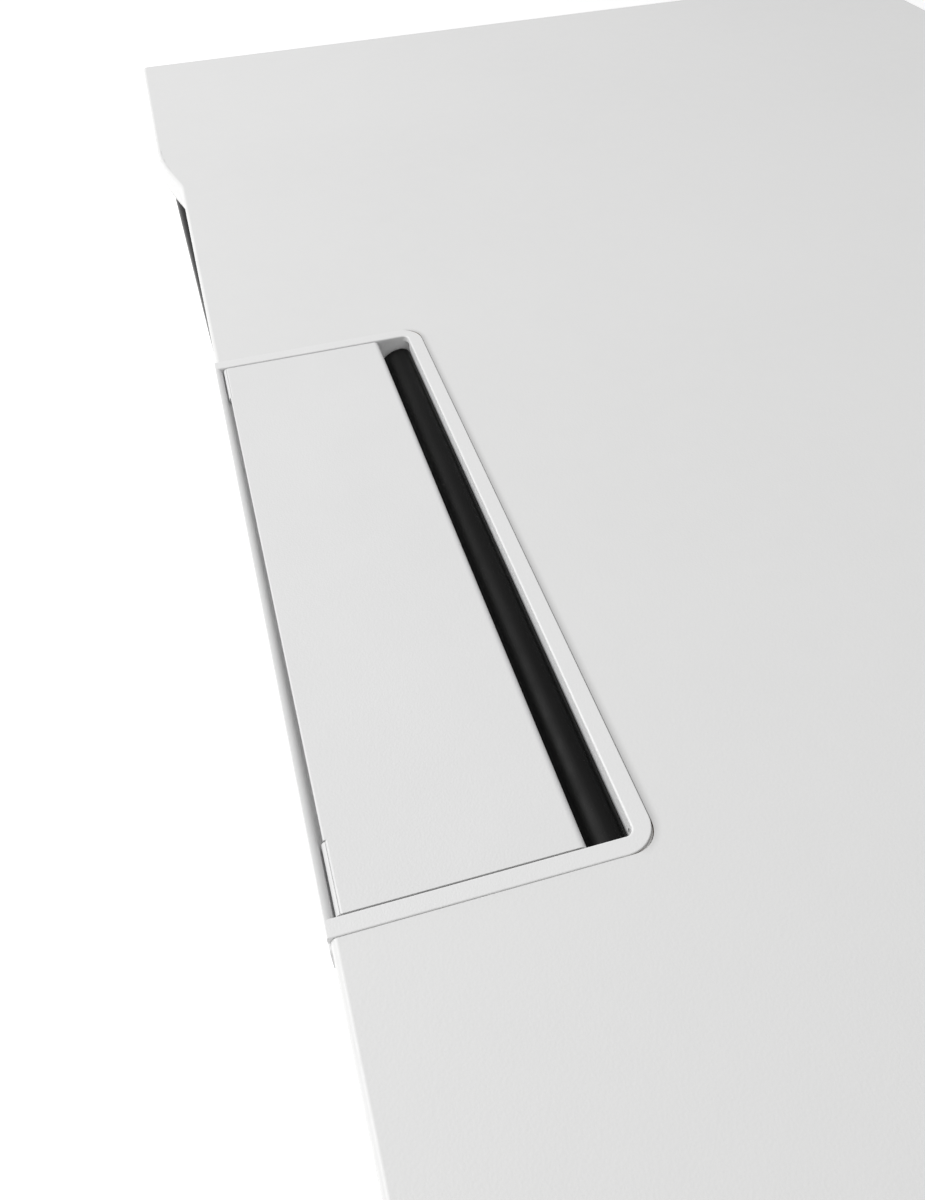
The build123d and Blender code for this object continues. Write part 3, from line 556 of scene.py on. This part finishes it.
def threaded_stem():
    """A levelling foot's steel stem: ball, neck, chamfered hexagon and rolled thread.
    Heights are above the floor, so the mesh stands on its own origin."""
    ball_z, ball_r, neck_r = 9.5 * MM, 6.0 * MM, 3.6 * MM
    hex_low, hex_high, hex_flat = 18.5 * MM, 24.9 * MM, 8.5 * MM
    thread_top, major, minor = 72.0 * MM, 4.99 * MM, 4.15 * MM
    lead_in, run_out = 1.2 * MM, 1.6 * MM

    def hexagon(angle, z):
        within = (angle % (math.pi / 3)) - math.pi / 6
        corner = hex_flat / math.cos(math.pi / 6)
        edge = min(z - hex_low, hex_high - z)
        chamfer = corner - 0.9 * MM + 1.75 * edge
        return min(hex_flat / math.cos(within), chamfer)

    def thread(angle, z):
        turn = (z / THREAD_PITCH - angle / (2 * math.pi)) % 1.0
        flank = min(1.0, max(0.0, (abs(turn - 0.5) * 2 - 0.15) / 0.65))
        radius = major - (major - minor) * (1.0 - flank)
        tip = major - max(0.0, z - (thread_top - lead_in)) * 0.9
        ending = max(0.0, 1.0 - (z - hex_high) / run_out)
        return min(tip, radius + (minor - radius) * min(1.0, ending))

    rows = []
    ball_steps = 16
    turn_in = math.acos(neck_r / ball_r)
    for k in range(1, ball_steps + 1):
        tilt = -math.pi / 2 + (math.pi / 2 + turn_in) * k / ball_steps
        z = ball_z + ball_r * math.sin(tilt)
        rows.append((z, lambda a, z, t=tilt: ball_r * math.cos(t)))
    rows.append((hex_low - 0.5 * MM, lambda a, z: neck_r))
    rows.append((hex_low, lambda a, z: neck_r + 0.2 * MM))
    for share in (0.0, 0.06, 0.12, 0.2, 0.5, 0.8, 0.88, 0.94, 1.0):
        rows.append((hex_low + share * (hex_high - hex_low), hexagon))
    rows.append((hex_high, lambda a, z: minor))
    thread_steps = int((thread_top - hex_high) / (THREAD_PITCH / 10))
    for k in range(1, thread_steps + 1):
        rows.append((hex_high + (thread_top - hex_high) * k / thread_steps, thread))

    rings = []
    for z, radius in rows:
        ring = []
        for k in range(COLUMNS):
            angle = 2 * math.pi * k / COLUMNS
            r = radius(angle, z)
            ring.append((r * math.cos(angle), r * math.sin(angle), z))
        rings.append(ring)
    shape = bmesh.new()
    skin(shape, rings)
    return to_mesh("foot_stem", shape, sharp_degrees=35.0)


weld_seams()
stem_mesh = threaded_stem()
for corner in CORNERS:
    low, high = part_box(f"foot_stem_{corner}")
    spot = ((low.x + high.x) / 2, (low.y + high.y) / 2, desk_low.z)
    name, body = f"threaded_stem_{corner}", f"stem_{corner}"
    stem = place(name, stem_mesh, body, "zinc_steel", spot)
    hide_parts(f"foot_stem_{corner}")


# Floor and light ----------------------------------------------------------------
FLOOR_HALF = 9.0
FLOOR_GLOW = 0.44               # keeps the floor as white as the photo's backdrop
WINDOW_PLACE = (1.25, 3.05, 4.35)
WINDOW_AIM = (0.0, 0.27, top_z)
WINDOW_SIZE = (4.0, 2.6)
WINDOW_POWER = 200.0            # watts


def make_floor():
    g = Graph("pale_floor")
    colour = g.blend(g.patches(1.5, 3.0, 0.5), rgba(0.86), rgba(0.89))
    g.bump([(g.noise(240.0, 3.0), 0.0002)])
    g.put(colour, g.shader.inputs["Emission Color"])
    roughness = g.patches(8.0, 2.0, 0.5, low=0.60, high=0.75)
    material = g.finish(colour, roughness, Emission_Strength=FLOOR_GLOW)
    mesh = bpy.data.meshes.new("floor")
    shape = bmesh.new()
    bmesh.ops.create_grid(shape, x_segments=24, y_segments=24, size=FLOOR_HALF)
    shape.to_mesh(mesh)
    shape.free()
    mesh.materials.append(material)
    floor = bpy.data.objects.new("floor", mesh)
    scene.collection.objects.link(floor)
    floor.location.z = desk_low.z


def soft_box(name, location, target, size, power):
    """A large soft area light aimed at a point."""
    light = bpy.data.lights.new(name, "AREA")
    light.shape = "RECTANGLE"
    light.size, light.size_y = size
    light.energy = power
    lamp = bpy.data.objects.new(name, light)
    scene.collection.objects.link(lamp)
    lamp.location = location
    aim = Vector(target) - Vector(location)
    lamp.rotation_euler = aim.to_track_quat("-Z", "Y").to_euler()


def studio_world(horizon, zenith, horizon_height):
    """A bright band along the horizon under a dimmer ceiling."""
    world = bpy.data.worlds.new("studio")
    scene.world = world
    world.use_nodes = True
    tree = world.node_tree
    coords = tree.nodes.new("ShaderNodeTexCoord")
    split = tree.nodes.new("ShaderNodeSeparateXYZ")
    fade = tree.nodes.new("ShaderNodeMapRange")
    fade.interpolation_type = "SMOOTHSTEP"
    fade.inputs["From Max"].default_value = horizon_height
    fade.inputs["To Min"].default_value = horizon
    fade.inputs["To Max"].default_value = zenith
    background = tree.nodes["Background"].inputs
    background["Color"].default_value = rgba(1.0)
    tree.links.new(coords.outputs["Generated"], split.inputs["Vector"])
    tree.links.new(split.outputs["Z"], fade.inputs["Value"])
    tree.links.new(fade.outputs["Result"], background["Strength"])


make_floor()
studio_world(horizon=0.90, zenith=0.40, horizon_height=0.45)
soft_box("rear_window", WINDOW_PLACE, WINDOW_AIM, WINDOW_SIZE, WINDOW_POWER)


# Camera -------------------------------------------------------------------------
EYE_HEIGHT = 0.338              # above the desk top
EYE_TO_LEFT = 0.3554            # from the desk's middle
EYE_BEFORE_REAR = 0.0272        # in from the rear edge
EYE_ANGLES = (43.2504, 1.6612, -105.8622)  # degrees about X, Y and Z
SENSOR_WIDTH, FOCAL_LENGTH = 36.0, 29.41  # in millimetres, as Blender has them
NEAREST = 0.01

camera_data = bpy.data.cameras.new("camera")
camera_data.sensor_width = SENSOR_WIDTH
camera_data.lens = FOCAL_LENGTH
camera_data.clip_start = NEAREST
camera = bpy.data.objects.new("camera", camera_data)
scene.collection.objects.link(camera)
camera.location = (-EYE_TO_LEFT, rear_y - EYE_BEFORE_REAR, top_z + EYE_HEIGHT)
camera.rotation_euler = [math.radians(angle) for angle in EYE_ANGLES]
scene.camera = camera
scene.view_settings.view_transform = "Standard"
